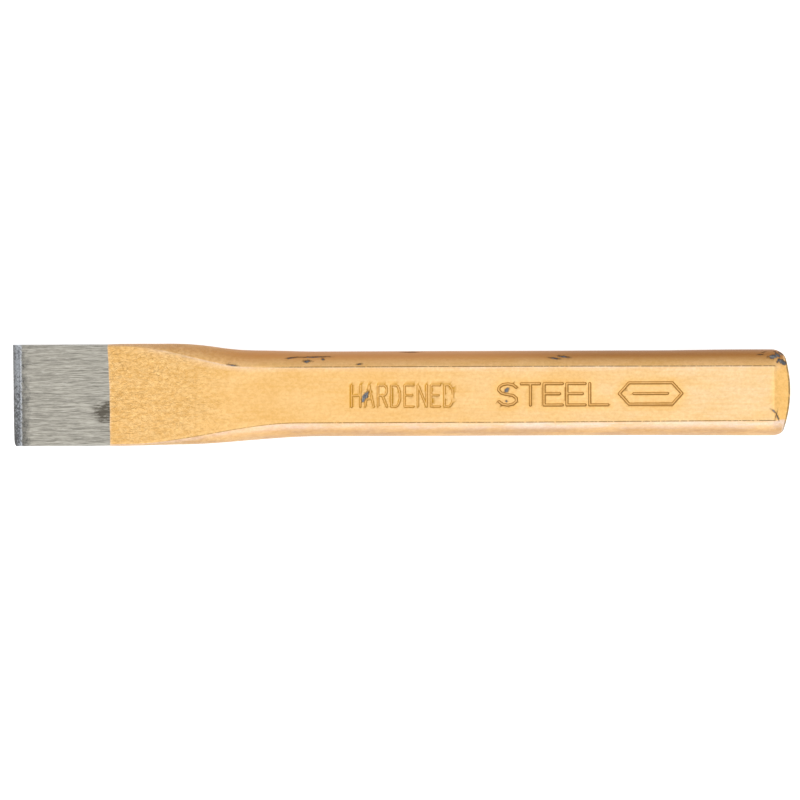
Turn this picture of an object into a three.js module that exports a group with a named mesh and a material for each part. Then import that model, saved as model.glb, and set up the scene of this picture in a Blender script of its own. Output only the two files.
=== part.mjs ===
// Flat cold chisel: one forged bar of tool steel with a flat-oval shank, lacquered from
// just behind the ground blade to the struck end.
//
// Millimetres, +Z up. The chisel lies on one wide flat, so the lower flat is at Z = 0.
// +X runs from the cutting edge to the struck head, and Y across the blade. The origin is
// the middle of the bounding box's underside.
//
// Places along the tool are "stations": distances from the cutting edge, in millimetres.

import * as THREE from "three";

// ---------------------------------------------------------------- driving dimensions

const LENGTH = 150; // cutting edge to crown, over the lacquer
const FILM = 0.08; // lacquer thickness

// Flat-oval bar, over the lacquer: two wide flats joined by two rounded sides.
const SHANK_WIDTH = 16.4;
const SHANK_THICKNESS = 11;
const SHANK_FLAT = 10.7; // width of each wide flat

// Blade, forged thin and wide, and ground bare.
const BLADE_WIDTH = 19.6;
const BLADE_FLAT = 18.9;
const EDGE_THICKNESS = 0.2; // the narrow land left along the cutting edge
const BEVEL_THICKNESS = 2.2; // where the cutting bevels meet the blade
const TAPER_PER_MM = 0.12; // how fast the blade thickens behind the bevels

// Stations.
const BEVEL_END = 1.5;
const LACQUER_LINE = 18.4;
const BLADE_END = 23; // the grinding runs on a little way under the lacquer
const NECK_END = 60;
const CROWN_LENGTH = 3.4; // length of the chamfers on the struck end
const NECK_STEPS = 12;

// Where each measure changes over from blade to shank in the neck.
const THICKNESS_SWELL = { from: 24, to: NECK_END };
const WIDTH_FLARE = { from: 30, to: 59 };
const FLAT_FLARE = { from: 22, to: 54, skew: 1.15 };

// Struck end: chamfered flats, rounded corners and a crowned face.
const CROWN_RADIUS = 21.7;
const FACE_THICKNESS = 6.4;
const FACE_WIDTH = 14;
const FACE_FLAT = 9.8;
const CROWN_STEPS = 5;
const FACE_STEPS = 3;

const ARC_STEPS = 10; // facets on each rounded side

// ---------------------------------------------------------------- derived dimensions

const STEEL_LENGTH = LENGTH - FILM;
const CROWN_START = STEEL_LENGTH - CROWN_LENGTH;
const STEEL_WIDTH = SHANK_WIDTH - 2 * FILM;
const STEEL_THICKNESS = SHANK_THICKNESS - 2 * FILM;
const AXIS_HEIGHT = SHANK_THICKNESS / 2;

const { lerp, smoothstep } = THREE.MathUtils;

// ---------------------------------------------------------------- sections of the forging

/** Half sizes of the bar's section at a station, grown by a lacquer film if there is one. */
function sectionAt(station, film = 0) {
  const wedge = BEVEL_THICKNESS + TAPER_PER_MM * (station - BEVEL_END);
  const swell = smoothstep(station, THICKNESS_SWELL.from, THICKNESS_SWELL.to);
  const narrowing = smoothstep(station, WIDTH_FLARE.from, WIDTH_FLARE.to);
  const flatFlare = 1 - smoothstep(station, FLAT_FLARE.from, FLAT_FLARE.to);
  return {
    halfWidth: lerp(BLADE_WIDTH, STEEL_WIDTH, narrowing) / 2 + film,
    halfFlat: lerp(SHANK_FLAT, BLADE_FLAT, flatFlare ** FLAT_FLARE.skew) / 2,
    halfThickness: lerp(wedge, STEEL_THICKNESS, swell) / 2 + film,
  };
}

/** The section at the very edge, where the two cutting bevels almost meet. */
function edgeSection() {
  return { ...sectionAt(BEVEL_END), halfThickness: EDGE_THICKNESS / 2 };
}

/**
 * Points [y, z] of a section, anticlockwise seen from the head. Each rounded side is one
 * arc through the edges of the two flats and the widest point between them.
 */
function outline({ halfWidth, halfFlat, halfThickness }) {
  const bulge = halfWidth - halfFlat;
  const radius = (halfThickness ** 2 + bulge ** 2) / (2 * bulge);
  const centre = halfWidth - radius;
  const reach = Math.atan2(halfThickness, halfFlat - centre);
  const points = [];
  for (const side of [1, -1]) {
    for (let step = 0; step <= ARC_STEPS; step++) {
      const angle = lerp(-reach, reach, step / ARC_STEPS);
      const y = centre + radius * Math.cos(angle);
      const z = radius * Math.sin(angle);
      points.push([side * y, side * z]);
    }
  }
  return points;
}

/** A ring of points in the part's frame: a section's outline with a station for each point. */
function ring(section, stationOf) {
  return outline(section).map(
    ([y, z]) => new THREE.Vector3(stationOf(y, z) - LENGTH / 2, y, z + AXIS_HEIGHT),
  );
}

const flatRing = (station, film) => ring(sectionAt(station, film), () => station);

// ---------------------------------------------------------------- struck end

/** Station of the crowned face at a point of the section. */
function crownStation(y, z, film) {
  return STEEL_LENGTH + film - (y ** 2 + z ** 2) / (2 * CROWN_RADIUS);
}

/** Rings from the full bar, over the chamfers and corners, to the rim of the face. */
function crownRings(film) {
  const full = sectionAt(CROWN_START, film);
  const rim = {
    halfWidth: FACE_WIDTH / 2 + film,
    halfFlat: FACE_FLAT / 2,
    halfThickness: FACE_THICKNESS / 2 + film,
  };
  const rimRing = outline(rim).map(([y, z]) => crownStation(y, z, film));
  const rings = [];
  for (let step = 1; step <= CROWN_STEPS; step++) {
    const along = step / CROWN_STEPS;
    const rounding = 1 - Math.sqrt(1 - along ** 2);
    const section = {
      halfWidth: lerp(full.halfWidth, rim.halfWidth, rounding),
      halfFlat: lerp(full.halfFlat, rim.halfFlat, along),
      halfThickness: lerp(full.halfThickness, rim.halfThickness, along),
    };
    let point = 0;
    rings.push(ring(section, () => lerp(CROWN_START, rimRing[point++], along)));
  }
  for (let step = 1; step < FACE_STEPS; step++) {
    const size = 1 - step / FACE_STEPS;
    const section = {
      halfWidth: rim.halfWidth * size,
      halfFlat: rim.halfFlat * size,
      halfThickness: rim.halfThickness * size,
    };
    rings.push(ring(section, (y, z) => crownStation(y, z, film)));
  }
  return rings;
}

// ---------------------------------------------------------------- solids

const onAxis = (station) => new THREE.Vector3(station - LENGTH / 2, 0, AXIS_HEIGHT);

/**
 * Closed solid through a list of rings, capped by a fan to a point at each end. Each quad
 * is split along its shorter diagonal, so two solids that share rings share their faces.
 */
function loft(rings, firstTip, lastTip) {
  const count = rings[0].length;
  const points = [...rings.flat(), firstTip, lastTip];
  const first = points.length - 2;
  const last = points.length - 1;
  const endRing = (rings.length - 1) * count;
  const index = [];
  for (let j = 0; j < count; j++) {
    const next = (j + 1) % count;
    for (let start = 0; start < endRing; start += count) {
      const [a, b] = [start + j, start + next];
      const [d, c] = [a + count, b + count];
      const acIsShorter = points[a].distanceTo(points[c]) < points[b].distanceTo(points[d]);
      index.push(...(acIsShorter ? [a, b, c, a, c, d] : [a, b, d, b, c, d]));
    }
    index.push(first, next, j);
    index.push(last, endRing + j, endRing + next);
  }
  const geometry = new THREE.BufferGeometry().setFromPoints(points);
  geometry.setIndex(index);
  geometry.computeVertexNormals();
  return geometry;
}

/** A stretch of the forging between two stations, cut square at both ends. */
function stretch(stations) {
  const rings = stations.map((station) => flatRing(station, 0));
  return loft(rings, onAxis(stations[0]), onAxis(stations.at(-1)));
}

const neckStations = Array.from({ length: NECK_STEPS + 1 }, (_, step) =>
  lerp(BLADE_END, NECK_END, step / NECK_STEPS),
);

function cuttingEdge() {
  const rings = [ring(edgeSection(), () => 0), flatRing(BEVEL_END, 0)];
  return loft(rings, onAxis(0), onAxis(BEVEL_END));
}

function head() {
  const rings = [flatRing(CROWN_START, 0), ...crownRings(0)];
  return loft(rings, onAxis(CROWN_START), onAxis(STEEL_LENGTH));
}

/** The lacquer film: the inside from the crown back to the lacquer line, then the outside. */
function lacquerCoat() {
  const covered = [LACQUER_LINE, ...neckStations, CROWN_START];
  const surface = (film) => [
    ...covered.map((station) => flatRing(station, film)),
    ...crownRings(film),
  ];
  const rings = [...surface(0).reverse(), ...surface(FILM)];
  return loft(rings, onAxis(STEEL_LENGTH), onAxis(LENGTH));
}

// ---------------------------------------------------------------- materials and assembly

const groundSteel = new THREE.MeshStandardMaterial({
  color: 0xb0aca2,
  roughness: 0.38,
  metalness: 1,
});
const forgedSteel = new THREE.MeshStandardMaterial({
  color: 0x63605f,
  roughness: 0.6,
  metalness: 0.9,
});
const goldLacquer = new THREE.MeshStandardMaterial({
  color: 0xe6b266,
  roughness: 0.4,
  metalness: 0.35,
});

const chisel = new THREE.Group();
chisel.name = "cold_chisel";

function add(name, geometry, material) {
  const mesh = new THREE.Mesh(geometry, material);
  mesh.name = name;
  chisel.add(mesh);
}

add("cutting_edge", cuttingEdge(), groundSteel);
add("blade", stretch([BEVEL_END, LACQUER_LINE, BLADE_END]), groundSteel);
add("neck", stretch(neckStations), forgedSteel);
add("shank", stretch([NECK_END, CROWN_START]), forgedSteel);
add("head", head(), forgedSteel);
add("lacquer_coat", lacquerCoat(), goldLacquer);

export default chisel;
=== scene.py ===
# %% [markdown]
# # A flat cold chisel, forged, ground, stamped and lacquered
#
# The real tool is a single forging: a flat-oval bar of tool steel whose front end is hammered
# thin and wide. The blade is ground bare, two marks are stamped into the upper flat, and
# everything behind the blade is dipped in a thin gold lacquer that chips in use.
#
# It is built in the same order here. One set of formulas gives the surface of the steel, and
# three pieces share it: the ground blade, the forged bar, and the lacquer film that lies on
# the bar. Where the film is chipped there is a real hole in it, and the dark bar shows.
#
# Lengths are in millimetres until a mesh is made. A "station" is a distance from the cutting
# edge towards the struck head.

# %% The frame
import math

import bmesh
import bpy
import numpy as np
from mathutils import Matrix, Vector, noise


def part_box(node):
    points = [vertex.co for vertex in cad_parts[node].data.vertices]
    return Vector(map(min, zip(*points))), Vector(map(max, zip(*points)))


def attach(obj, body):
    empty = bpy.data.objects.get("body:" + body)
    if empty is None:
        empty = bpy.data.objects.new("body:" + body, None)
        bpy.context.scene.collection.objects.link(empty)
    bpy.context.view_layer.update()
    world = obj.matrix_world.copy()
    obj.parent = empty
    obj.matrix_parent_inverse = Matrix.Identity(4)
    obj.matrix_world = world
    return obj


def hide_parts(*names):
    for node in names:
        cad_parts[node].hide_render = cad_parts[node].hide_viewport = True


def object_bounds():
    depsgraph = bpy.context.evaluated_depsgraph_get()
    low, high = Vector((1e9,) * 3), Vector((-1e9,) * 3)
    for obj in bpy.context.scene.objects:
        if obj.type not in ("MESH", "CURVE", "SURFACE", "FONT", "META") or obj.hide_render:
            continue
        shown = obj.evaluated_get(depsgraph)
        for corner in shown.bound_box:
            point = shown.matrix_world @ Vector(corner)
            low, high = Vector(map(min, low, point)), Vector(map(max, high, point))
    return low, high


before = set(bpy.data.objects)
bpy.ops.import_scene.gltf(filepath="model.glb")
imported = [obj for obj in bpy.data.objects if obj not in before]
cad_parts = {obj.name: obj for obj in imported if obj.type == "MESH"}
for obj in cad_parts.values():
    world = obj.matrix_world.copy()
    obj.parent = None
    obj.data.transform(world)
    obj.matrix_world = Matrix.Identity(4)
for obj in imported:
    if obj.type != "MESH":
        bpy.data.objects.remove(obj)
cad_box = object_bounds()
MM = 0.001

# %% Sizes from the frame
origin_x = cad_box[0].x


def reach_of(node):
    """First and last station of a zone, in millimetres."""
    low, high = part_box(node)
    return (low.x - origin_x) / MM, (high.x - origin_x) / MM


def size_of(node):
    low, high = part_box(node)
    return (high - low) / MM


LENGTH = reach_of("lacquer_coat")[1]
BEVEL_END = reach_of("cutting_edge")[1]
BLADE_END = reach_of("blade")[1]
NECK_END = reach_of("neck")[1]
CROWN_START = reach_of("shank")[1]
LACQUER_LINE = reach_of("lacquer_coat")[0]
BLADE_HALF_WIDTH = size_of("blade").y / 2
BEVEL_HALF_THICKNESS = size_of("cutting_edge").z / 2
BLADE_HALF_THICKNESS = size_of("blade").z / 2
STEEL_HALF_THICKNESS = size_of("shank").z / 2
STEEL_HALF_WIDTH = size_of("shank").y / 2
FILM = size_of("lacquer_coat").z / 2 - STEEL_HALF_THICKNESS
AXIS_HEIGHT = size_of("lacquer_coat").z / 2
print(f"chisel {LENGTH:.1f} mm long, lacquer {FILM:.3f} mm thick from station {LACQUER_LINE:.1f}")

# %% [markdown]
# ## The surface of the forging
#
# A section of the bar has two flats joined by two round sides. All its sizes change along the
# neck: the thickness swells from the blade's wedge to the full bar, the width narrows, and the
# flats narrow with it. A hammer did this, so the two sides aren't quite alike: the far side has
# a shoulder where it leaves the blade, and the near side sweeps in slowly.
#
# A subdivision cage could be pushed into this shape by eye. Formulas are used instead, because
# the steel and the lacquer on it must follow each other within hundredths of a millimetre.

# %% Section of the bar
FAR, NEAR = 1, -1  # the sides towards +Y and -Y


def ease(x, start, end):
    """0 before start, 1 after end, and smooth between them."""
    t = np.clip((x - start) / (end - start), 0, 1)
    return t * t * (3 - 2 * t)


def mix(a, b, t):
    return a + (b - a) * t


def half_width(station, side):
    width = mix(BLADE_HALF_WIDTH, STEEL_HALF_WIDTH, ease(station, 29, NECK_END - 1))
    # How far each side falls short of that: a shoulder on the far one, a slow sweep on the near.
    shoulder = 0.46 * np.exp(-(((station - 43.5) / 5.9) ** 2)) + 0.08 * (1 - ease(station, 26, 36))
    sweep = 0.16 * np.exp(-(((station - 31) / 6) ** 2)) - 0.1 * (1 - ease(station, 16, 24))
    upset = 0.12 * ease(station, 120, 146)  # hammering has widened the head a little
    return width + upset - np.where(side == FAR, shoulder, sweep)


def half_flat(station, side):
    rounder = 0.07 * ease(station, 95, 140)  # the flats are a hair narrower by the head
    far = mix(9.35, 5.30, ease(station, 22, 46.5)) - rounder
    near = mix(9.42, 5.43, ease(station, 22, 55)) - 2 * rounder
    return np.where(side == FAR, far, near)


def half_thickness(station):
    per_mm = (BLADE_HALF_THICKNESS - BEVEL_HALF_THICKNESS) / (BLADE_END - BEVEL_END)
    wedge = BEVEL_HALF_THICKNESS + per_mm * (station - BEVEL_END)
    return mix(wedge, STEEL_HALF_THICKNESS, ease(station, BLADE_END + 1, NECK_END))


for station in (LACQUER_LINE, 40.0, NECK_END):
    width = half_width(station, FAR) + half_width(station, NEAR)
    flat = half_flat(station, FAR) + half_flat(station, NEAR)
    thick = 2 * half_thickness(station)
    print(f"station {station:.1f}: {width:.2f} wide, flats {flat:.2f} wide, {thick:.2f} thick")


# %% [markdown]
# ## Walking over the whole tool with two numbers
#
# "Walk" runs along the tool: it is the station as far as the chamfers of the struck end, then
# it climbs over the chamfer and ends in the middle of the crowned face. "Girth" runs once
# round the section: 0 to 1 across the upper flat, 1 to 2 down the near side, 2 to 3 across the
# lower flat and 3 to 4 up the far side. "Lift" is the height above the steel, so the lacquer
# is the same surface with a little lift.

# %% From walk and girth to a place
CHAMFER_WALK = 4.0
FACE_WALK = 3.2
RIM = CROWN_START + CHAMFER_WALK
FACE_CENTRE = RIM + FACE_WALK
FACE_HALF_FLAT, FACE_HALF_THICKNESS = 4.9, 3.2
FACE_HALF_WIDTH = {FAR: 6.7, NEAR: 7.4}
CROWN_RADIUS = 21.7
CROWN_LEAN = 0.4  # the crown's highest point lies a little to the far side


def over_chamfer(walk):
    """0 on the bar, 1 at the rim of the face, and a soft start so that no hard line shows."""
    along = np.clip((walk - CROWN_START) / CHAMFER_WALK, -0.3, 1)
    soft = (along + np.sqrt(along**2 + 0.006)) / 2
    return np.where(along < -0.29, 0, np.clip(soft, 0, 1))


def section(walk, girth, lift):
    """Across and up from the axis, before the crowned face closes the end."""
    girth = np.mod(girth, 4)
    side = np.where((girth < 0.5) | (girth > 2.5), FAR, NEAR)
    station = np.minimum(walk, CROWN_START)
    along = over_chamfer(walk)
    rounding = 1 - np.sqrt(1 - along**2)
    face_width = np.where(side == FAR, FACE_HALF_WIDTH[FAR], FACE_HALF_WIDTH[NEAR])
    width = mix(half_width(station, side), face_width, rounding) + lift
    flat = mix(half_flat(station, side), FACE_HALF_FLAT, along)
    height = mix(half_thickness(station), FACE_HALF_THICKNESS, along) + lift

    radius = (height**2 + (width - flat) ** 2) / (2 * (width - flat))
    centre = width - radius
    turn = np.arctan2(height, flat - centre)
    down_side = np.where(girth < 2.5, 3 - 2 * girth, 2 * girth - 7)
    round_y = side * (centre + radius * np.cos(turn * down_side))
    round_z = radius * np.sin(turn * down_side)

    # The two flats reach different distances to the far and the near side.
    far_flat = mix(half_flat(station, FAR), FACE_HALF_FLAT, along)
    near_flat = mix(half_flat(station, NEAR), FACE_HALF_FLAT, along)
    over_flat = np.where(girth < 2, girth, 3 - girth)
    flat_y = mix(far_flat, -near_flat, over_flat)
    on_upper, on_lower = girth <= 1, (girth >= 2) & (girth <= 3)
    y = np.where(on_upper | on_lower, flat_y, round_y)
    z = np.where(on_upper, height, np.where(on_lower, -height, round_z))
    return y, z


def crown_station(y, z, lift):
    return LENGTH - FILM + lift - ((y - CROWN_LEAN) ** 2 + z**2) / (2 * CROWN_RADIUS)


def place(walk, girth, lift):
    """Points in millimetres from the cutting edge, the axis and the axis again."""
    y, z = section(walk, girth, lift)
    along = np.clip((walk - CROWN_START) / CHAMFER_WALK, 0, 1)
    closing = np.clip((FACE_CENTRE - walk) / FACE_WALK, 0, 1)
    y, z = y * closing, z * closing
    station = mix(np.minimum(walk, CROWN_START), crown_station(y, z, lift), along)
    return np.stack([station, y, z], axis=-1)


# %% [markdown]
# ## The stamped marks
#
# A steel punch leaves a groove with steep walls, a level bottom and a low lip of pushed-up
# steel beside it. A bump map could fake that, but the groove is deep enough to catch real
# shadow, so it is cut into the mesh: the marks are drawn as pen strokes, and each vertex sinks
# by its distance from the nearest stroke. The words are plain shop words, with a plain
# six-sided cartouche after them.

# %% Letters as pen strokes


def bow(x, y, rx, ry, start, end, steps=8):
    """An elliptical arc, in degrees, as a list of points."""
    angles = np.radians(np.linspace(start, end, steps))
    return [(x + rx * math.cos(a), y + ry * math.sin(a)) for a in angles]


LETTERS = {
    "A": [[(0, 0), (0.5, 1), (1, 0)], [(0.2, 0.36), (0.8, 0.36)]],
    "D": [[(0, 0), (0, 1), *bow(0.5, 0.5, 0.5, 0.5, 90, -90), (0, 0)]],
    "E": [[(1, 1), (0, 1), (0, 0), (1, 0)], [(0, 0.53), (0.85, 0.53)]],
    "H": [[(0, 0), (0, 1)], [(1, 0), (1, 1)], [(0, 0.52), (1, 0.52)]],
    "L": [[(0, 1), (0, 0), (1, 0)]],
    "N": [[(0, 0), (0, 1), (1, 0), (1, 1)]],
    "R": [
        [(0, 0), (0, 1), *bow(0.65, 0.76, 0.35, 0.24, 90, -90), (0, 0.52)],
        [(0.5, 0.52), (1, 0)],
    ],
    "S": [[*bow(0.5, 0.75, 0.5, 0.25, 20, 260), *bow(0.5, 0.25, 0.5, 0.25, 90, -160)]],
    "T": [[(0, 1), (1, 1)], [(0.5, 1), (0.5, 0)]],
}

STAMP_HEIGHT = 4.1


def word(text, start, end, letter_share, middle):
    """Strokes of a word from one station to another. letter_share is letter over pitch."""
    pitch = (end - start) / (len(text) - 1 + letter_share)
    strokes = []
    for place_in_word, letter in enumerate(text):
        left = start + pitch * place_in_word
        for stroke in LETTERS[letter]:
            xs = [left + x * pitch * letter_share for x, _ in stroke]
            ys = [middle + (y - 0.5) * STAMP_HEIGHT for _, y in stroke]
            strokes.append(list(zip(xs, ys)))
    return strokes


def cartouche(start, end, middle):
    """A long six-sided outline with a bar in the middle."""
    low, high = middle - STAMP_HEIGHT / 2, middle + STAMP_HEIGHT / 2
    point = STAMP_HEIGHT * 0.45
    outline = [
        (start, middle),
        (start + point, high),
        (end - point, high),
        (end, middle),
        (end - point, low),
        (start + point, low),
        (start, middle),
    ]
    bar = [(start + 1.5 * point, middle), (end - 1.5 * point, middle)]
    return [outline, bar]


strokes = [
    *word("HARDENED", 65.4, 84.9, 0.66, middle=-0.3),
    *word("STEEL", 93.6, 114.6, 0.8, middle=-0.1),
    *cartouche(116.8, 128.8, middle=0.0),
]
pen = np.array([[*a, *b] for line in strokes for a, b in zip(line, line[1:])])
print(f"{len(strokes)} pen strokes, {len(pen)} straight pieces")

# %% Depth of the grooves
GROOVE_HALF_WIDTH = 0.3
GROOVE_WALL = 0.15  # how wide each sloping wall is
GROOVE_DEPTH = 0.2
LIP_HEIGHT = 0.03
WORDS_SPLIT = 88  # a station in the gap between the two words
FINER_PUNCH = 1.25  # how much narrower the first word's grooves are


def flat_across(walk, girth):
    """Distance from the axis across the upper flat."""
    return mix(half_flat(walk, FAR), -half_flat(walk, NEAR), girth)


def from_strokes(walk, girth):
    """Distance in millimetres to the nearest stroke, and 9 anywhere off the upper flat."""
    distance = np.full(walk.shape, 9.0)
    stamped = (girth > 0.1) & (girth < 0.9) & (walk > pen[:, 0].min() - 2)
    stamped &= walk < pen[:, 2].max() + 2
    spots = np.stack([walk[stamped], flat_across(walk[stamped], girth[stamped])], axis=-1)
    nearest = np.full(len(spots), 9.0)
    for x0, y0, x1, y1 in pen:
        start, run = np.array([x0, y0]), np.array([x1 - x0, y1 - y0])
        t = np.clip((spots - start) @ run / (run @ run), 0, 1)
        nearest = np.minimum(nearest, np.linalg.norm(spots - start - t[:, None] * run, axis=1))
    in_first_word = spots[:, 0] < WORDS_SPLIT
    distance[stamped] = np.where(in_first_word, FINER_PUNCH * nearest, nearest)
    return distance


def groove(distance):
    """How far a vertex sinks: a level bottom, sloping walls, and a raised lip outside them."""
    sunk = ease(GROOVE_HALF_WIDTH - distance, 0, GROOVE_WALL)
    lip = np.exp(-(((distance - GROOVE_HALF_WIDTH - 0.08) / 0.1) ** 2))
    return GROOVE_DEPTH * sunk - LIP_HEIGHT * lip


def groove_lacquer_and_shade(distance):
    """How brown a vertex is: lacquer gathers in the groove, and painted shade is strongest
    on the walls.
    """
    wall = np.exp(-(((distance - GROOVE_HALF_WIDTH + GROOVE_WALL / 2) / 0.09) ** 2))
    return ease(GROOVE_HALF_WIDTH + 0.06 - distance, 0, 0.1) * (0.2 + 0.8 * wall)


# %% [markdown]
# ## Chips in the lacquer
#
# Lacquer on a struck tool flakes at the corners and wherever it was knocked. Chips could be
# painted, but they show the film's thickness, so they are cut out of it. Each one is a small
# ellipse with a ragged outline. The list holds their places: most on the far side and the far
# corner of the head, as on the real tool, and a few on the hidden faces.

# %% Where the chips are
# station or walk, girth, half length, half breadth, slant in degrees
CHIPS = [
    (57.9, 3.79, 2.3, 0.17, 2),
    (56.9, 3.89, 0.75, 0.33, 0),
    (54.0, 3.81, 0.9, 0.16, 12),
    (59.9, 3.85, 0.25, 0.22, 0),
    (42.4, 3.99, 0.65, 0.12, 0),
    (66.9, 3.95, 0.42, 0.16, 10),
    (76.8, 3.62, 1.2, 0.2, 0),
    (104.4, 3.84, 0.9, 0.2, -12),
    (106.2, 3.80, 0.9, 0.3, -14),
    (68.0, 0.54, 1.05, 0.42, 62),
    (95.2, 0.42, 0.45, 0.34, 40),
    (95.1, 0.62, 0.16, 0.16, 0),
    (146.6, 3.82, 1.2, 0.5, 14),
    (148.2, 3.76, 1.0, 0.55, -25),
    (149.3, 3.9, 1.0, 0.7, -10),
    (148.2, 3.88, 0.9, 0.3, 45),
    (149.4, 3.66, 0.9, 0.55, 20),
    (147.5, 3.68, 0.5, 0.25, -30),
    (144.0, 3.77, 0.45, 0.17, 4),
    (144.7, 3.7, 0.3, 0.1, 30),
    (134.1, 1.46, 0.6, 0.14, 0),
    (26.8, 1.3, 1.3, 0.1, 0),
    (146.6, 0.84, 0.55, 0.13, -35),
    (147.2, 0.9, 0.6, 0.13, 65),
    (147.8, 0.96, 0.5, 0.16, -50),
    # the lower flat, the near side and the struck face
    (51.0, 2.62, 1.3, 0.25, 20),
    (98.0, 2.3, 0.7, 0.4, -30),
    (131.0, 2.95, 1.1, 0.3, 0),
    (88.0, 1.75, 1.0, 0.22, 5),
    (148.6, 2.1, 0.9, 0.5, 20),
    (151.6, 1.4, 0.5, 0.35, 0),
    (151.4, 3.4, 0.6, 0.5, 0),
    (152.7, 0.7, 0.5, 0.4, 0),
]
GIRTH_LENGTH = np.array([10.7, 12.8, 10.7, 12.8])  # millimetres in each quarter of the girth


def ragged(walk, girth, grain, seed):
    """Smooth noise over the surface, one value a point."""
    spots = place(walk, girth, 0.0) / grain + seed
    return np.array([noise.noise(Vector(p)) for p in spots])


# %% Distance to a chip


def from_chips(walk, girth):
    """Distance in millimetres to the nearest chip's outline, negative inside it."""
    distance = np.full(walk.shape, 9.0)
    for at, round_, half_length, half_breadth, slant in CHIPS:
        around = np.mod(girth - round_ + 2, 4) - 2
        dx, dy = walk - at, around * GIRTH_LENGTH[int(round_) % 4]
        close = np.hypot(dx, dy) < half_length + 2
        c, s = math.cos(math.radians(slant)), math.sin(math.radians(slant))
        u = (dx[close] * c - dy[close] * s) / half_length
        v = (dx[close] * s + dy[close] * c) / half_breadth
        edge = (np.hypot(u, v) - 1) * half_breadth
        broad = ragged(walk[close], girth[close], 0.6, 3.0)
        fine = ragged(walk[close], girth[close], 0.25, 8.0)
        edge += min(0.26, 0.6 * half_breadth) * (broad + 0.6 * fine)
        distance[close] = np.minimum(distance[close], edge)
    return distance


# %% [markdown]
# ## One flat sheet for the bar and its lacquer
#
# Stamps and chips need cells of a tenth of a millimetre, and the rest of the bar doesn't. So
# the bar starts as a coarse flat sheet, laid out by walk and girth, and only the cells near a
# stroke or a chip are halved, three times over. Then the sheet is rolled round the bar. Its
# seam runs along the middle of the lower flat.

# %% The coarse sheet
SEAM = 2.5
CELL = 0.8
NECK_CELL = 0.6
EDGE_ROWS = (0.14, 0.32)  # extra rows beside each edge of a flat, in millimetres


def spread(start, end, step):
    """Evenly spaced values from start up to, but not including, end."""
    return np.linspace(start, end, max(2, round((end - start) / step)), endpoint=False)


def girth_rows():
    rows = [SEAM, SEAM + 4]
    for corner in range(2, 7):
        length = GIRTH_LENGTH[corner % 4]
        margin = EDGE_ROWS[-1] / length
        rows += [corner + sign * gap / length for gap in EDGE_ROWS for sign in (-1, 1)]
        rows += [corner]
        rows += list(spread(corner + margin, corner + 1 - margin, CELL / length))
    rows = sorted({round(r, 6) for r in rows if SEAM <= r <= SEAM + 4})
    return np.array(rows)


def walk_columns(first):
    """Columns from the first station to the middle of the crowned face."""
    columns = [*spread(first, NECK_END - 8, NECK_CELL), *spread(NECK_END - 8, CROWN_START, CELL)]
    columns += [first + 0.15, first + 0.35]
    columns += list(spread(CROWN_START - 0.6, CROWN_START + 0.6, 0.2))
    columns += list(spread(CROWN_START + 0.6, RIM - 0.15, 0.35))
    columns += [RIM - 0.15, RIM - 0.06, RIM, RIM + 0.06, RIM + 0.15]
    columns += list(spread(RIM + 0.4, FACE_CENTRE, 0.4)) + [FACE_CENTRE]
    return np.array(sorted(set(columns)))


def flat_sheet(columns, rows):
    """A grid of quads whose x is the walk and whose y is the girth."""
    sheet = bmesh.new()
    grid = [[sheet.verts.new((w, g, 0)) for g in rows] for w in columns]
    for near, far in zip(grid, grid[1:]):
        for a, b, c, d in zip(near, near[1:], far[1:], far):
            sheet.faces.new((a, b, c, d))
    return sheet


def walk_and_girth(sheet):
    at = np.array([v.co.to_tuple() for v in sheet.verts])
    return at[:, 0], np.mod(at[:, 1], 4)


def refine(sheet, reaches):
    """Halves the cells within each reach of a stroke or a chip, one reach after another."""
    for reach in reaches:
        walk, girth = walk_and_girth(sheet)
        close = np.minimum(from_strokes(walk, girth), from_chips(walk, girth) + 0.12) < reach
        edges = [e for e in sheet.edges if close[e.verts[0].index] and close[e.verts[1].index]]
        bmesh.ops.subdivide_edges(sheet, edges=edges, cuts=1, use_grid_fill=True)
        sheet.verts.index_update()


REACHES = (1.0, 0.65, 0.47)  # millimetres from a stroke or a chip

rows = girth_rows()
bar_sheet = flat_sheet(walk_columns(LACQUER_LINE), rows)
bar_sheet.verts.index_update()
print(f"coarse sheet: {len(bar_sheet.faces)} cells")
refine(bar_sheet, REACHES)
print(f"refined sheet: {len(bar_sheet.faces)} cells")

# %% Cutting the chips out of a sheet


def cut_out_chips(sheet):
    """Splits the cells along each chip's outline, then deletes the ones inside it."""
    walk, girth = walk_and_girth(sheet)
    depth = from_chips(walk, girth)
    outline = []
    for edge in list(sheet.edges):
        a, b = edge.verts
        da, db = depth[a.index], depth[b.index]
        if da * db < 0:
            outline.append((edge, a, da / (da - db)))
    made = [bmesh.utils.edge_split(edge, vert, share)[1] for edge, vert, share in outline]
    bmesh.ops.connect_verts(sheet, verts=made)
    middles = [f.calc_center_median() for f in sheet.faces]
    walk = np.array([m.x for m in middles])
    girth = np.mod(np.array([m.y for m in middles]), 4)
    inside = from_chips(walk, girth) < 0
    lost = [f for f, gone in zip(list(sheet.faces), inside) if gone]
    bmesh.ops.delete(sheet, geom=lost, context="FACES")
    sheet.verts.index_update()


# %% [markdown]
# ## Rolling the sheet up
#
# Every vertex now goes to its real place. Its lift adds the small things that keep a forging
# from looking machined: long shallow waves along the bar, fine ripples in the neck where the
# hammer worked, a slightly broken edge along each flat, and the grooves of the stamps.

# %% Hammered unevenness


def from_flat_edge(girth):
    """Distance in millimetres from the nearest edge of a flat."""
    return np.abs(girth - np.round(girth)) * GIRTH_LENGTH[0]


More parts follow.
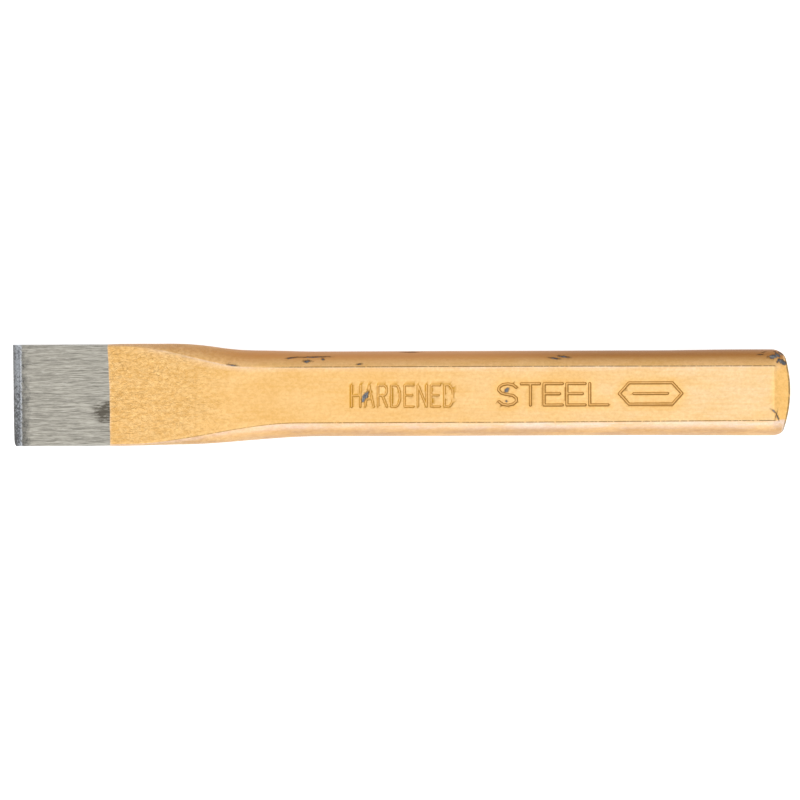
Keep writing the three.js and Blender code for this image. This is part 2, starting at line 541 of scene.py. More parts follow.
def unevenness(walk, girth):
    neck = ease(walk, LACQUER_LINE - 2, BLADE_END + 2) * (1 - ease(walk, 38, 56))
    waves = 0.03 * ragged(walk, girth, 11.0, 1.0)
    ripples = 0.025 * neck * ragged(walk, girth, 2.2, 5.0)
    broken_edge = -0.05 * np.clip(1 - from_flat_edge(girth) / EDGE_ROWS[0], 0, 1)
    return (waves + ripples) * (walk < RIM) + broken_edge * (walk < RIM)


def lacquer_edge(walk, girth):
    """Shifts the first few columns, so that the film starts on a slightly bowed line."""
    y, _ = section(walk, girth, 0.0)
    line = 0.38 - 0.42 * ease(y, -2, 13) + 0.03 * np.sin(1.3 * y)
    return line * (1 - ease(walk, LACQUER_LINE, LACQUER_LINE + 5))


# %% [markdown]
# ## Where the colour changes
#
# Lacquer gathers in the grooves and painted shade darkens their walls, lacquer gathers beside
# the stamps, the edges of the flats are worn through, painted highlights run beside the far
# edges of the flats, and the two round sides carry painted light and shade. These places follow
# the shape, not a pattern. They could be painted by hand on an unwrapped mesh. Here they are
# worked out from walk and girth and stored on the vertices, so they need no texture and always
# fit the shape.

# %% Masks for the lacquer's colour


def round_side(walk, girth, side):
    """0 on the flats, 1 where a side is widest, and 0 again by the rim of the face."""
    first = 3 if side == FAR else 1
    down_side = np.clip(girth - first, 0, 1) * (np.floor(girth) == first)
    return (1 - np.abs(2 * down_side - 1)) * (1 - ease(walk, RIM - 1.2, RIM))


def rubbed_edges(walk, girth):
    """Where the dark lines are: along the edges of the flats and round the rim of the face."""
    far = 0.8 * ease(walk, 46, 56)
    near = 0.5 * ease(walk, 24, 34) + 0.5 * ease(walk, 46, 64)
    along = np.where((girth < 0.5) | (girth > 2.5), far, near)
    along = along * (1 - ease(walk, CROWN_START, RIM - 3))
    line = np.clip(1 - from_flat_edge(girth) / EDGE_ROWS[0], 0, 1) * along
    return np.maximum(line, np.exp(-(((walk - RIM + 0.08) / 0.17) ** 2)))


def pale_edges(walk, girth):
    """A painted highlight beside the far edges of the flats, and a paler line where the film
    begins.
    """
    on_flat = (girth < 0.5) | (girth > 2.5) & (girth <= 3)
    gap = from_flat_edge(girth)
    at_corner = 1 - ease(walk, 43, 50)  # further on, the corner itself is the dark line
    line = np.clip(1 - gap / 0.6, 0, 1) * on_flat * np.where(gap < 0.05, at_corner, 1)
    line = line * ease(walk, 22, 30) * (1 - ease(walk, CROWN_START - 2, RIM))
    return np.maximum(line, 0.6 * np.exp(-(((walk - LACQUER_LINE) / 0.25) ** 2)))


def colour_masks(walk, girth):
    strokes_away = from_strokes(walk, girth)
    chips_away = from_chips(walk, girth)
    second_word_on = ease(walk, WORDS_SPLIT - 2, WORDS_SPLIT + 3)
    return {
        "groove": groove_lacquer_and_shade(strokes_away),
        "pooled": np.exp(-((strokes_away / 1.1) ** 2)) * mix(0.25, 1, second_word_on),
        "chip_edge": np.exp(-((np.maximum(chips_away, 0) / 0.13) ** 2)),
        "flat_edge": rubbed_edges(walk, girth),
        "pale_edge": pale_edges(walk, girth),
        "near_side": round_side(walk, girth, NEAR),
        "far_side": round_side(walk, girth, FAR),
    }


# %% [markdown]
# ## From the sheet to a mesh
#
# A copy of the sheet is rolled up at some lift above the steel, its grooves are pressed in, and
# the masks go onto its vertices. A lift of one film makes the outside of the lacquer, and a
# lift just below zero makes the steel under it.

# %% Rolling up
WELD = 0.002 * MM  # vertices closer than this become one


def roll_up(sheet, name, lift):
    """Makes a mesh object from a copy of the sheet, at a height above the steel."""
    rolled = sheet.copy()
    rolled.verts.index_update()
    walk, girth = walk_and_girth(rolled)
    feather = mix(0.2, 1, ease(walk, LACQUER_LINE, LACQUER_LINE + 3))
    height = lift * feather + unevenness(walk, girth)
    points = place(walk + lacquer_edge(walk, girth), girth, height)
    points[:, 2] -= groove(from_strokes(walk, girth))
    for vert, (x, y, z) in zip(rolled.verts, points):
        vert.co = (x * MM + origin_x, y * MM, (z + AXIS_HEIGHT) * MM)
    for mask, values in colour_masks(walk, girth).items():
        layer = rolled.verts.layers.float.new(mask)
        for vert, value in zip(rolled.verts, values):
            vert[layer] = value
    bmesh.ops.remove_doubles(rolled, verts=rolled.verts, dist=WELD)
    bmesh.ops.recalc_face_normals(rolled, faces=rolled.faces)
    return into_object(rolled, name)


def into_object(mesh_in_work, name):
    mesh = bpy.data.meshes.new(name)
    mesh_in_work.to_mesh(mesh)
    mesh_in_work.free()
    mesh.shade_smooth()
    piece = bpy.data.objects.new(name, mesh)
    bpy.context.scene.collection.objects.link(piece)
    return piece


def report(piece):
    triangles = sum(len(p.vertices) - 2 for p in piece.data.polygons)
    size = ", ".join(f"{d / MM:.2f}" for d in piece.dimensions)
    print(f"{piece.name}: {triangles} triangles, {size} mm")


# %% [markdown]
# ## The lacquer
#
# The sheet with its chips cut out is rolled at full lift, and Solidify gives it its thickness
# towards the steel. That also closes it along the front edge and round every chip.

# %% Lacquer film
lacquer_sheet = bar_sheet.copy()
lacquer_sheet.verts.index_update()
cut_out_chips(lacquer_sheet)
lacquer = roll_up(lacquer_sheet, "lacquer_film", FILM)
lacquer_sheet.free()


def apply_modifiers(piece):
    bpy.context.view_layer.objects.active = piece
    for modifier in list(piece.modifiers):
        with bpy.context.temp_override(object=piece, active_object=piece):
            bpy.ops.object.modifier_apply(modifier=modifier.name)


CRISP_FROM = math.radians(60)  # so that the rims round the chips stay crisp

thickness = lacquer.modifiers.new("thickness", "SOLIDIFY")
thickness.thickness = FILM * MM
thickness.offset = -1
apply_modifiers(lacquer)
lacquer.data.set_sharp_from_angle(angle=CRISP_FROM)
report(lacquer)

# %% [markdown]
# ## The forged bar under it
#
# The same sheet without holes, a hair below the film. It starts under the lacquer where the
# ground blade stops, so a flat face closes its front end.

# %% Forged bar
GAP = 0.01  # between the steel and the inside of the film


def trim_front(sheet, first):
    """Drops the cells before a station and squares the new front edge."""
    early = [f for f in sheet.faces if f.calc_center_median().x < first]
    bmesh.ops.delete(sheet, geom=early, context="FACES")
    for vert in sheet.verts:
        vert.co.x = max(vert.co.x, first)
    sheet.verts.index_update()


def close_front(piece):
    """Fills the open end with one flat face."""
    body = bmesh.new()
    body.from_mesh(piece.data)
    open_edges = [e for e in body.edges if e.is_boundary]
    bmesh.ops.contextual_create(body, geom=open_edges)
    bmesh.ops.recalc_face_normals(body, faces=body.faces)
    body.to_mesh(piece.data)
    body.free()


trim_front(bar_sheet, BLADE_END)
bar = roll_up(bar_sheet, "forged_bar", -GAP)
bar_sheet.free()
close_front(bar)
report(bar)

# %% [markdown]
# ## The ground blade
#
# The blade is ground on both faces along its length, then the two cutting bevels are ground
# across it. The grinding wheel pushes up a thin burr where bevel and face meet. The edge is a
# hair out of square, with its near corner worn round. All of that is in the mesh, which is
# fine near the edge and coarser behind it. The scratches of the grinding are in the material.

# %% Ground blade
EDGE_HALF_THICKNESS = 0.1
BURR_HEIGHT = 0.026
BURR_WIDTH = 0.17
GRIND_DEPTH = 0.004
GROUND_CORNER = math.radians(28)  # faces that meet more sharply than this keep a hard edge


def edge_line(y):
    """Station of the cutting edge: a little out of square, near corner rounded, tiny nicks."""
    across = (BLADE_HALF_WIDTH - y) / (2 * BLADE_HALF_WIDTH)
    corner = 0.3 * np.exp(-(y + BLADE_HALF_WIDTH) / 0.5)
    nicks = 0.03 * np.array([abs(noise.noise(Vector((v * 1.7, 0, 4)))) for v in y])
    return 0.02 + 0.15 * across + corner + nicks


def blade_points(walk, girth):
    """The blade's faces, with the bevels drawn in towards the edge and the burr raised."""
    points = place(walk, girth, unevenness(walk, girth) * ease(walk, BEVEL_END, 4))
    bevel = np.clip(walk / BEVEL_END, 0, 1)
    points[:, 2] *= mix(EDGE_HALF_THICKNESS / half_thickness(walk), 1, bevel)
    beat = np.array([noise.noise(Vector((p[1] * 2.6, p[0], p[2]))) for p in points])
    ridge = np.exp(-(((walk - BEVEL_END) / BURR_WIDTH) ** 2)) * (0.75 + beat)
    grind = np.array([noise.noise(Vector((p[0] * 0.12, p[1] * 1.6, p[2]))) for p in points])
    ground = ease(walk, BEVEL_END, BEVEL_END + 2)
    ground = ground * (1 - ease(walk, LACQUER_LINE - 2, LACQUER_LINE))
    rise = BURR_HEIGHT * ridge + GRIND_DEPTH * grind * ground
    points[:, 2] += np.sign(points[:, 2]) * rise
    points[:, 0] += edge_line(points[:, 1]) * (1 - ease(walk, 0, BEVEL_END))
    return points


# %% Cells of the blade


def blade_columns():
    """Fine columns over the bevels and the burr, and coarser ones behind them."""
    columns = list(spread(0, BEVEL_END - 0.3, 0.12))
    columns += list(spread(BEVEL_END - 0.3, BEVEL_END + 0.3, 0.05))
    columns += list(spread(BEVEL_END + 0.3, BEVEL_END + 2, 0.15))
    columns += list(spread(BEVEL_END + 2, BLADE_END, 0.45)) + [BLADE_END]
    return np.array(sorted(set(columns)))


def blade_rows():
    """Fine rows over the two faces, and a few round each thin side."""
    rows = [SEAM, SEAM + 4]
    for corner in (2, 3, 4, 5, 6):
        fine = 0.2 / (2 * BLADE_HALF_WIDTH) if corner % 2 == 0 else 1 / 8
        rows += list(spread(corner, corner + 1, fine))
    return np.array(sorted({round(r, 6) for r in rows if SEAM <= r <= SEAM + 4}))


def ground_blade():
    sheet = flat_sheet(blade_columns(), blade_rows())
    sheet.verts.index_update()
    walk, girth = walk_and_girth(sheet)
    for vert, point in zip(sheet.verts, blade_points(walk, girth)):
        vert.co = (point[0] * MM + origin_x, point[1] * MM, (point[2] + AXIS_HEIGHT) * MM)
    bmesh.ops.remove_doubles(sheet, verts=sheet.verts, dist=WELD)
    ends = [e for e in sheet.edges if e.is_boundary]
    bmesh.ops.holes_fill(sheet, edges=ends)
    bmesh.ops.recalc_face_normals(sheet, faces=sheet.faces)
    for edge in sheet.edges:
        edge.smooth = edge.is_manifold and edge.calc_face_angle(0) < GROUND_CORNER
    return into_object(sheet, "ground_blade")


blade = ground_blade()
report(blade)

# %% [markdown]
# ## Materials
#
# The finishes are made from noise in object space, so they need no texture maps and look the
# same from every side. Each material is a chain of small steps: a pattern, a range of it, and
# a mix of two colours by that range.

# %% Small helpers for shader nodes


class Finish:
    """One material, with short calls for the nodes that the finishes here need."""

    def __init__(self, name):
        self.material = bpy.data.materials.new(name)
        self.material.use_nodes = True
        self.nodes = self.material.node_tree.nodes
        self.links = self.material.node_tree.links
        self.surface = self.nodes["Principled BSDF"]
        coordinates = self.nodes.new("ShaderNodeTexCoord").outputs["Object"]
        self.here = self.math("SCALE", coordinates, scale=1 / MM, vector=True)

    def feed(self, socket, value):
        if isinstance(value, bpy.types.NodeSocket):
            self.links.new(value, socket)
        else:
            socket.default_value = value

    def math(self, operation, a, b=0.0, scale=None, vector=False):
        node = self.nodes.new("ShaderNodeVectorMath" if vector else "ShaderNodeMath")
        node.operation = operation
        self.feed(node.inputs[0], a)
        if scale is not None:
            node.inputs["Scale"].default_value = scale
        elif operation not in ("ABSOLUTE", "SINE"):
            self.feed(node.inputs[1], b)
        return node.outputs[0]

    def stretched(self, along, across=1.0, shift=0.0, up=None):
        """Millimetres, squeezed along the tool, across it and up."""
        node = self.nodes.new("ShaderNodeMapping")
        self.feed(node.inputs["Vector"], self.here)
        up = across if up is None else up
        node.inputs["Scale"].default_value = (along, across, up)
        node.inputs["Location"].default_value = (shift, shift, shift)
        return node.outputs[0]

    def noise(self, where, grain, detail=2.0, roughness=0.5, distortion=0.0):
        """Noise whose lumps are about one grain across, in millimetres of the coordinate."""
        node = self.nodes.new("ShaderNodeTexNoise")
        self.feed(node.inputs["Vector"], where)
        node.inputs["Scale"].default_value = 1 / grain
        node.inputs["Detail"].default_value = detail
        node.inputs["Roughness"].default_value = roughness
        node.inputs["Distortion"].default_value = distortion
        return node.outputs[0]

    def range(self, value, low, high, to_low=0.0, to_high=1.0):
        node = self.nodes.new("ShaderNodeMapRange")
        node.interpolation_type = "SMOOTHSTEP"
        self.feed(node.inputs["Value"], value)
        node.inputs["From Min"].default_value = low
        node.inputs["From Max"].default_value = high
        node.inputs["To Min"].default_value = to_low
        node.inputs["To Max"].default_value = to_high
        return node.outputs[0]

    def blend(self, share, a, b):
        node = self.nodes.new("ShaderNodeMix")
        node.data_type = "RGBA"
        self.feed(node.inputs["Factor"], share)
        self.feed(node.inputs["A"], (*a, 1) if isinstance(a, tuple) else a)
        self.feed(node.inputs["B"], (*b, 1) if isinstance(b, tuple) else b)
        return node.outputs["Result"]

    def painted(self, name):
        """A value that was stored on the mesh's vertices."""
        node = self.nodes.new("ShaderNodeAttribute")
        node.attribute_name = name
        return node.outputs["Fac"]

    def axis(self, letter):
        node = self.nodes.new("ShaderNodeSeparateXYZ")
        self.feed(node.inputs[0], self.here)
        return node.outputs[letter]

    def bumps(self, *layers):
        """Bump from (height, depth in millimetres) layers, one on top of the other."""
        normal = None
        for height, depth in layers:
            node = self.nodes.new("ShaderNodeBump")
            self.feed(node.inputs["Height"], height)
            node.inputs["Distance"].default_value = depth * MM
            if normal:
                self.links.new(normal, node.inputs["Normal"])
            normal = node.outputs["Normal"]
        self.links.new(normal, self.surface.inputs["Normal"])

    def set(self, **sockets):
        for name, value in sockets.items():
            socket = self.surface.inputs[name.replace("_", " ").title().replace("Ior", "IOR")]
            self.feed(socket, value)
        return self

    def onto(self, piece):
        piece.data.materials.clear()
        piece.data.materials.append(self.material)


def station_x(station):
    """The object-space x, in millimetres, of a station."""
    return origin_x / MM + station


# %% [markdown]
# ### Gold lacquer
#
# A clear amber lacquer full of fine metal flake. Its base is a warm, slightly metallic colour
# with a faint clear coat. It is deepest in the neck, paler towards the head, which is a painted
# sheen, and orange again on the chamfer. Along the far edge of the flat runs a pale line, a
# painted highlight. The near side carries a painted sheen by its creases and painted shade round
# its widest part. Over that come broad clouds, cream patches, mottling that is strongest in the
# neck, and faint lengthwise streaks.
#
# The far side is painted shade: an even brown, darker towards the head. It comes after the
# clouds and hides them. Last come the flake, the brown in the stamps, which is gathered lacquer
# with painted shade on the walls, dark dashes where the edges of the flats have worn through,
# and the brown rims of the chips.
#
# One painted texture could give all this at once. A chain of noises takes longer to tune,
# but it has no seams and each part of it can be turned up or down alone.

# %% Colours of the gold lacquer
GOLD = (0.72, 0.435, 0.163)
GOLD_NECK = (0.84, 0.50, 0.18)
# GOLD_PALE is a painted sheen, paler towards the head.
GOLD_PALE = (0.73, 0.525, 0.30)
GOLD_DEEP = (0.66, 0.36, 0.09)
GOLD_CREAM = (0.82, 0.54, 0.25)
MOTTLE_DEEP, MOTTLE_PALE = (0.60, 0.32, 0.08), (0.95, 0.66, 0.30)
FLAKE_BROWN = (0.46, 0.24, 0.07)
SCRATCH_BROWN = (0.50, 0.25, 0.05)
POOLED_GOLD = (0.78, 0.43, 0.09)
END_GOLD = (0.86, 0.51, 0.17)
# Painted light on the near side: NEAR_HIGH and NEAR_NECK are a painted sheen by its creases,
# NEAR_LOW is painted shade round its widest part.
NEAR_HIGH, NEAR_LOW = (0.67, 0.545, 0.475), (0.43, 0.25, 0.135)
NEAR_NECK = (0.63, 0.45, 0.36)
# Painted shade on the far side: FAR_HIGH and FAR_NECK are its lighter tones by the crease, FAR_LOW
# and FAR_HEAD the darker ones round it, darkest towards the head.
FAR_HIGH, FAR_LOW = (0.77, 0.46, 0.20), (0.49, 0.20, 0.045)
FAR_NECK, FAR_HEAD = (0.68, 0.375, 0.17), (0.31, 0.104, 0.0)
# PALE_EDGE is a painted highlight beside the far edges of the flats, and also the paler line where
# the film begins.
PALE_EDGE = (0.84, 0.645, 0.50)
# The grooves: lacquer gathered in them, with painted shade that darkens their walls.
GROOVE_AMBER, GROOVE_BROWN = (0.42, 0.195, 0.0), (0.22, 0.08, 0.0)
CHIP_BROWN = (0.16, 0.09, 0.04)
WORN_STEEL = (0.10, 0.07, 0.03)

# %% Gold by place


def gold_by_place(gold, station, neck):
    """The lacquer's colour by place: a painted sheen towards the head, gathered by a stamp, or
    painted light and shade on a side.
    """
    # A painted sheen, paler towards the head.
    sheen_towards_head = gold.range(station, station_x(50), station_x(LENGTH))
    tone = gold.blend(sheen_towards_head, gold.blend(neck, GOLD, GOLD_NECK), GOLD_PALE)
    tone = gold.blend(gold.math("MULTIPLY", gold.painted("pooled"), 0.62), tone, POOLED_GOLD)
    across = gold.axis("Y")
    bow = gold.math("MULTIPLY", gold.math("MULTIPLY", across, across), 0.02)
    bowed = gold.math("SUBTRACT", station, bow)
    on_chamfer = gold.range(bowed, station_x(145.3), station_x(147.2))
    tone = gold.blend(on_chamfer, tone, END_GOLD)
    near, far = gold.painted("near_side"), gold.painted("far_side")
    # Near side: a painted sheen by the creases, then painted shade round the widest part.
    near_sheen = gold.blend(gold.range(station, station_x(40), station_x(105)), NEAR_NECK, NEAR_HIGH)
    tone = gold.blend(gold.range(near, 0.0, 0.04), tone, near_sheen)
    tone = gold.blend(gold.range(near, 0.1, 0.42), tone, NEAR_LOW)
    # Far side: painted light and shade, lighter by the crease. The darker painted shade over it
    # comes later.
    tone = gold.blend(gold.range(far, 0.0, 0.04), tone, gold.blend(neck, FAR_HIGH, FAR_NECK))
    # The pale lines: a painted highlight beside the far edges of the flats.
    return gold.blend(gold.painted("pale_edge"), tone, PALE_EDGE)


# %% Clouds, and the far side's painted shade over them


def gold_patches(gold, tone, neck):
    """Clouds, cream patches, mottling that is strongest in the neck, and streaks."""
    clouds = gold.range(gold.noise(gold.stretched(0.3), 2.6, 4, 0.6), 0.38, 0.66)
    cream = gold.range(gold.noise(gold.stretched(0.35, 1, 57), 3.2, 2), 0.48, 0.68)
    tone = gold.blend(gold.math("MULTIPLY", clouds, 0.4), tone, GOLD_DEEP)
    tone = gold.blend(gold.math("MULTIPLY", cream, 0.3), tone, GOLD_CREAM)
    mottle = gold.range(gold.noise(gold.stretched(0.7, 1, 4), 0.6, 3, 0.6), 0.35, 0.65)
    amount = gold.range(neck, 0, 1, 0.16, 0.36)
    tone = gold.blend(gold.math("MULTIPLY", mottle, amount), tone, MOTTLE_DEEP)
    pale = gold.math("MULTIPLY", gold.math("SUBTRACT", 1.0, mottle), amount)
    tone = gold.blend(pale, tone, MOTTLE_PALE)
    runs = gold.noise(gold.stretched(0.06), 0.45, 3)
    return gold.blend(gold.range(runs, 0.45, 0.75, 0, 0.3), tone, GOLD_DEEP)


def far_side_shade(gold, tone, station, neck):
    """Painted shade on the far side: an even brown, darker towards the head, hiding the clouds."""
    share = gold.range(gold.painted("far_side"), 0.02, 0.5, 0, 0.93)
    share = gold.math("MULTIPLY", share, gold.range(neck, 0, 1, 1, 0.35))
    browner = gold.range(station, station_x(85), station_x(115))
    return gold.blend(share, tone, gold.blend(browner, FAR_LOW, FAR_HEAD))


# %% Wear and folds


def worn_dashes(gold):
    """Where the edges of the flats are worn through, in broken dashes."""
    dashes = gold.range(gold.noise(gold.stretched(1.1, 0.4), 0.5, 2, 0.7), 0.3, 0.5, 0.35, 1)
    return gold.math("MULTIPLY", gold.range(gold.painted("flat_edge"), 0.0, 0.62), dashes)


def hammer_folds(gold, neck):
    """Thin creases that the hammer left here and there in the neck."""
    folds = gold.noise(gold.stretched(0.6, 1, 23), 1.3, 1, 0.5, 1.2)
    from_fold = gold.math("ABSOLUTE", gold.math("SUBTRACT", folds, 0.5))
    lines = gold.range(from_fold, 0.0, 0.03, 1, 0)
    here_and_there = gold.range(gold.noise(gold.stretched(0.5, 1, 41), 3.0, 1), 0.42, 0.6)
    return gold.math("MULTIPLY", gold.math("MULTIPLY", lines, here_and_there), neck)


# %% Gold lacquer put together


def gold_lacquer():
    gold = Finish("gold_lacquer")
    station = gold.axis("X")
    neck = gold.range(station, station_x(54), station_x(26))
    tone = gold_by_place(gold, station, neck)
    tone = gold_patches(gold, tone, neck)
    tone = far_side_shade(gold, tone, station, neck)

    grain = gold.noise(gold.here, 0.35, 2, 0.6)
    tone = gold.blend(gold.range(grain, 0.3, 0.7, 0.18, 0), tone, FLAKE_BROWN)
    words_split = station_x(WORDS_SPLIT)
    second_word_on = gold.range(station, words_split - 2, words_split + 3)
    in_groove = gold.blend(second_word_on, GROOVE_AMBER, GROOVE_BROWN)
    # The brown in the grooves: gathered lacquer, and painted shade strongest on the walls.
    tone = gold.blend(gold.painted("groove"), tone, in_groove)
    worn = worn_dashes(gold)
    tone = gold.blend(gold.math("MULTIPLY", worn, 0.75), tone, WORN_STEEL)
    tone = gold.blend(gold.math("MULTIPLY", gold.painted("chip_edge"), 0.7), tone, CHIP_BROWN)

    # The grinding marks of the blade still show through the first of the lacquer.
    under_grind = gold.range(station, station_x(34), station_x(21))
    scratches = gold.noise(gold.stretched(0.05, 1), 0.2, 3, 0.6)
    dark_scratches = gold.math("MULTIPLY", gold.range(scratches, 0.54, 0.68), under_grind)
    tone = gold.blend(gold.math("MULTIPLY", dark_scratches, 0.5), tone, SCRATCH_BROWN)

    hammered = gold.noise(gold.stretched(0.9, 1.1), 0.6, 3, 0.65, 1.5)
    bare = gold.math("MAXIMUM", worn, gold.painted("chip_edge"))
    gold.set(
        base_color=tone,
        metallic=0.2,
        roughness=gold.range(bare, 0, 1, 0.42, 0.75),
        specular_ior_level=0.1,
        coat_weight=gold.range(bare, 0, 1, 0.08, 0),
        coat_roughness=0.35,
    )
    gold.bumps(
        (gold.math("MULTIPLY", hammered, neck), 0.3),
        (hammer_folds(gold, neck), 0.04),
        (gold.math("MULTIPLY", scratches, under_grind), 0.02),
        (gold.noise(gold.stretched(0.5), 0.6, 2), 0.02),
        (grain, 0.008),
    )
    return gold


gold_lacquer().onto(lacquer)

# %% [markdown]
# ### Forged steel
#
# Only the chips show it: dark blue-grey scale with a dull sheen. A flat grey would do at this
# size, but a little mottling keeps each chip from looking like a hole cut in paper.

# %% Forged steel
SCALE_DARK, SCALE_LIGHT = (0.10, 0.105, 0.12), (0.21, 0.205, 0.20)


def forged_steel():
    scale = Finish("forged_steel")
    mottle = scale.range(scale.noise(scale.here, 0.7, 3), 0.35, 0.7)
    scale.set(
        base_color=scale.blend(mottle, SCALE_DARK, SCALE_LIGHT),
        metallic=0.85,
        roughness=scale.range(mottle, 0, 1, 0.6, 0.45),
    )
    scale.bumps((scale.noise(scale.here, 0.25, 3), 0.02))
    return scale


forged_steel().onto(bar)

# %% [markdown]
# ### Ground steel
#
# Grinding leaves thousands of lengthwise scratches of uneven brightness. They are noise that
# is stretched about twenty times along the tool, once broad and once fine, with some deep dark
# ones and some shiny ones over them. The noise is squeezed upwards too, so that a streak
# follows the sloping face and isn't cut short by it.
#
# The bevels are ground across and look blue-grey, speckled with painted glitter and with a
# painted highlight over the far half, and the burr behind them has painted glitter. Behind the
# burr is a speckled dark band, and a stain of scale is left against the lacquer where the wheel
# didn't quite reach. Anisotropic shading is the usual way to show a ground face. Streaks of
# colour are used because they look the same from every side and survive the export.

# %% Colours of the ground steel
STEEL_LIGHT = (0.44, 0.42, 0.365)
STEEL_DARK = (0.18, 0.17, 0.145)
# BEVEL_BRIGHT is painted glitter and highlight on the bevels, BURR_GLITTER painted glitter on the
# burr.
BEVEL_BRIGHT = (0.57, 0.60, 0.64)
BEVEL_DARK = (0.15, 0.155, 0.165)
BEVEL_BY_EDGE = (0.17, 0.16, 0.145)
DEEP_STREAK, SHINY_STREAK = (0.10, 0.09, 0.075), (0.62, 0.60, 0.55)
BAND_DARK = (0.085, 0.083, 0.076)
BURR_GLITTER = (0.41, 0.43, 0.46)
STAIN_DARK = (0.075, 0.065, 0.05)

# %% Streaks, band and burr


def streaks(steel, along, grain, shift, detail=3, roughness=0.7):
    """Lengthwise streaks that follow the sloping faces of the blade."""
    return steel.noise(steel.stretched(along, 1, shift, up=0.1), grain, detail, roughness)


def band_behind_burr(steel, tone, station):
    """A dark speckled band behind the burr, wider on the near half."""
    ragged_band = steel.noise(steel.stretched(0.8, 0.6, 5), 0.8, 3, 0.7)
    wavy = steel.math("ADD", station, steel.math("MULTIPLY", ragged_band, 4.6))
    wavy = steel.math("ADD", wavy, steel.range(steel.axis("Y"), -6, 6, -0.35, 0.2))
    behind_burr = steel.range(wavy, station_x(BEVEL_END + 4.5), station_x(BEVEL_END + 2.2))
    specks = steel.range(steel.noise(steel.stretched(0.9, 1, 13), 0.3, 3, 0.7), 0.46, 0.58, 0.6, 1)
    return steel.blend(steel.math("MULTIPLY", behind_burr, specks), tone, BAND_DARK)


def bevels_and_burr(steel, tone, station):
    """Blue-grey bevels with painted glitter, brighter on the far half as a painted highlight,
    duller by the edge, and the burr with its painted glitter.
    """
    speckle = steel.noise(steel.stretched(1.5, 0.7, 3), 0.33, 3, 0.75)
    # Painted highlight: the far half of the bevels is brighter.
    far_half = steel.range(steel.axis("Y"), -9, 7, -0.07, 0.07)
    lit = steel.range(steel.math("ADD", speckle, far_half), 0.44, 0.58)
    bevel = steel.blend(lit, BEVEL_DARK, BEVEL_BRIGHT)
    by_edge = steel.range(station, station_x(BEVEL_END * 0.75), station_x(0), 0, 0.6)
    bevel = steel.blend(by_edge, bevel, BEVEL_BY_EDGE)
    on_bevel = steel.range(station, station_x(BEVEL_END + 0.3), station_x(BEVEL_END - 0.1))
    tone = steel.blend(on_bevel, tone, bevel)
    from_burr = steel.math("ABSOLUTE", steel.math("SUBTRACT", station, station_x(BEVEL_END)))
    on_burr = steel.range(from_burr, 0.5, 0.12)
    # Painted glitter on the burr.
    glitter = steel.math("MULTIPLY", on_burr, steel.range(speckle, 0.42, 0.58))
    return steel.blend(glitter, tone, BURR_GLITTER)


# %% The stain against the lacquer


def stain_mask(steel):
    """A patch of left-over scale against the lacquer, with streaky ends, on the upper face."""
    station = steel.axis("X")
    near_lacquer = steel.range(station, station_x(14.0), station_x(LACQUER_LINE + 0.4))
    off_centre = steel.math("ABSOLUTE", steel.math("ADD", steel.axis("Y"), 3.3))
    strip = steel.range(off_centre, 2.9, 0.3)
    upper = steel.range(steel.axis("Z"), AXIS_HEIGHT, AXIS_HEIGHT + 0.5)
    patch = steel.math("MULTIPLY", steel.math("MULTIPLY", near_lacquer, strip), upper)
    ragged_ends = steel.noise(steel.stretched(0.08, 1, 11), 0.26, 3, 0.7)
    streaky = steel.math("ADD", patch, steel.math("MULTIPLY", ragged_ends, 5.0))
    only_there = steel.range(patch, 0.02, 0.3, 0, 0.9)
    return steel.math("MULTIPLY", steel.range(streaky, 2.65, 3.2), only_there)


# %% Ground steel put together


def ground_steel():
    steel = Finish("ground_steel")
    station = steel.axis("X")
    broad = streaks(steel, 0.055, 0.2, shift=0)
    fine = streaks(steel, 0.05, 0.13, shift=7)
    half_broad, half_fine = steel.math("MULTIPLY", broad, 0.5), steel.math("MULTIPLY", fine, 0.5)
    mixed = steel.math("ADD", half_broad, half_fine)
    tone = steel.blend(steel.range(mixed, 0.355, 0.63), STEEL_DARK, STEEL_LIGHT)
    deep = streaks(steel, 0.04, 0.14, shift=19, detail=2, roughness=0.6)
    tone = steel.blend(steel.range(deep, 0.54, 0.68, 0, 0.5), tone, DEEP_STREAK)
    shiny = streaks(steel, 0.07, 0.14, shift=31, detail=2, roughness=0.6)
    tone = steel.blend(steel.range(shiny, 0.58, 0.74, 0, 0.5), tone, SHINY_STREAK)
    tone = band_behind_burr(steel, tone, station)
    tone = bevels_and_burr(steel, tone, station)
    tone = steel.blend(stain_mask(steel), tone, STAIN_DARK)
    steel.set(base_color=tone, metallic=0.9, roughness=steel.range(mixed, 0.3, 0.7, 0.5, 0.38))
    steel.bumps((fine, 0.004), (broad, 0.005))
    return steel


ground_steel().onto(blade)
for piece in (lacquer, bar, blade):
    material = piece.active_material
    print(f"{piece.name}: {material.name}, {len(material.node_tree.nodes)} nodes")


# %% [markdown]
# ## Riding on the frame
#
# Nothing moves on a chisel, so each piece rides on the one body. The pieces stand in for the
# plain solids of the frame.

# %% Pieces and what they stand for
for piece, finish, nodes in (
    (blade, "ground_steel", ("cutting_edge", "blade")),
    (bar, "forged_steel", ("neck", "shank", "head")),
    (lacquer, "gold_lacquer", ("lacquer_coat",)),
):
    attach(piece, "root")
    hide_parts(*nodes)


# %% [markdown]
# ## Floor, light and camera
#
# A light table: a plain white sheet that also glows a little from below, which takes away the
# hard shadow, as for a catalogue. Above it hangs a soft tent that is brightest overhead. One
# wide lamp leans to the near side, and a low one grazes that side and makes it shine.

# %% Floor
FLOOR_RADIUS = 4
FLOOR_DROP = 0.02 * MM  # clear of the lower flat

bpy.ops.mesh.primitive_circle_add(
    vertices=96, radius=FLOOR_RADIUS, fill_type="NGON", location=(0, 0, -FLOOR_DROP)
)
floor = bpy.context.object
floor.name = "floor"
paper = Finish("floor_paper")
paper.set(base_color=(0.3, 0.3, 0.3, 1), roughness=0.9)
paper.set(emission_color=(1, 1, 1, 1), emission_strength=0.86)
paper.onto(floor)

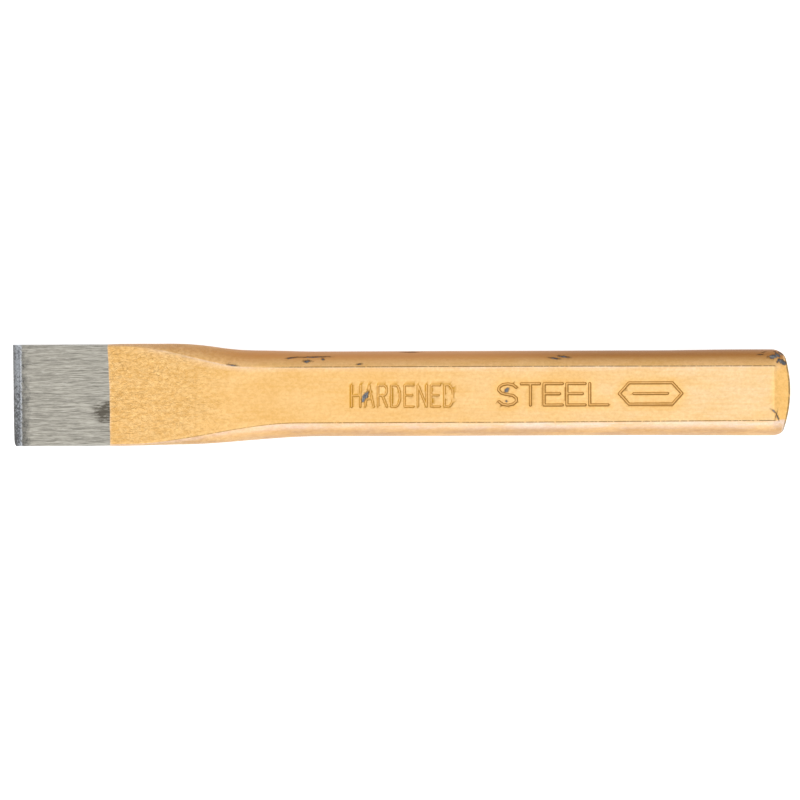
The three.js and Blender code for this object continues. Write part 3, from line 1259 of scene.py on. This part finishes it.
# %% Light
world = bpy.data.worlds.new("studio")
bpy.context.scene.world = world
world.use_nodes = True
tent = world.node_tree
background = tent.nodes["Background"]
background.inputs["Color"].default_value = (1, 1, 1, 1)
direction = tent.nodes.new("ShaderNodeTexCoord").outputs["Generated"]
upward = tent.nodes.new("ShaderNodeSeparateXYZ")
tent.links.new(direction, upward.inputs[0])
fade = tent.nodes.new("ShaderNodeMapRange")
fade.interpolation_type = "SMOOTHSTEP"
tent.links.new(upward.outputs["Z"], fade.inputs["Value"])
fade.inputs["From Min"].default_value = 0.2
fade.inputs["From Max"].default_value = 0.95
fade.inputs["To Min"].default_value = 0.28  # strength near the floor
fade.inputs["To Max"].default_value = 1.3  # strength overhead
tent.links.new(fade.outputs[0], background.inputs["Strength"])


def wide_sun(name, strength, spread_degrees, towards):
    """A sun whose light comes from a direction, given as a vector."""
    light = bpy.data.lights.new(name, "SUN")
    light.energy = strength
    light.angle = math.radians(spread_degrees)
    lamp = bpy.data.objects.new(name, light)
    lamp.rotation_euler = Vector(towards).to_track_quat("Z", "Y").to_euler()
    bpy.context.scene.collection.objects.link(lamp)
    return lamp


wide_sun("overhead_softbox", strength=1.12, spread_degrees=40, towards=(0.6, -0.35, 1))
wide_sun("side_softbox", strength=1.3, spread_degrees=50, towards=(0, -1, 0.4))

# %% [markdown]
# ### Camera
#
# The camera looks almost straight down, through a long lens so that the two ends of the tool
# are seen at the same size. It leans a little to the far side and is turned a hair, because a
# hand-set camera is never quite square to the bench.

# %% Camera
CAMERA_LEAN = 1.5  # degrees off vertical, towards the far side
CAMERA_ROLL = 0.21
FRAME_WIDTH = 154.5
AIM_ALONG, AIM_ACROSS = -0.22, -1.23
LENS, SENSOR = 200, 36

camera_data = bpy.data.cameras.new("camera")
camera_data.lens = LENS
camera_data.sensor_width = SENSOR
camera = bpy.data.objects.new("camera", camera_data)
bpy.context.scene.collection.objects.link(camera)
bpy.context.scene.camera = camera
distance = FRAME_WIDTH * MM * LENS / SENSOR
aim = Vector((AIM_ALONG, AIM_ACROSS, AXIS_HEIGHT)) * MM
lean = math.radians(CAMERA_LEAN)
camera.location = aim + distance * Vector((0, math.sin(lean), math.cos(lean)))
camera.rotation_euler = (-lean, 0, math.radians(-CAMERA_ROLL))
bpy.context.scene.view_settings.view_transform = "Standard"
print(f"camera {distance:.3f} m above the chisel")
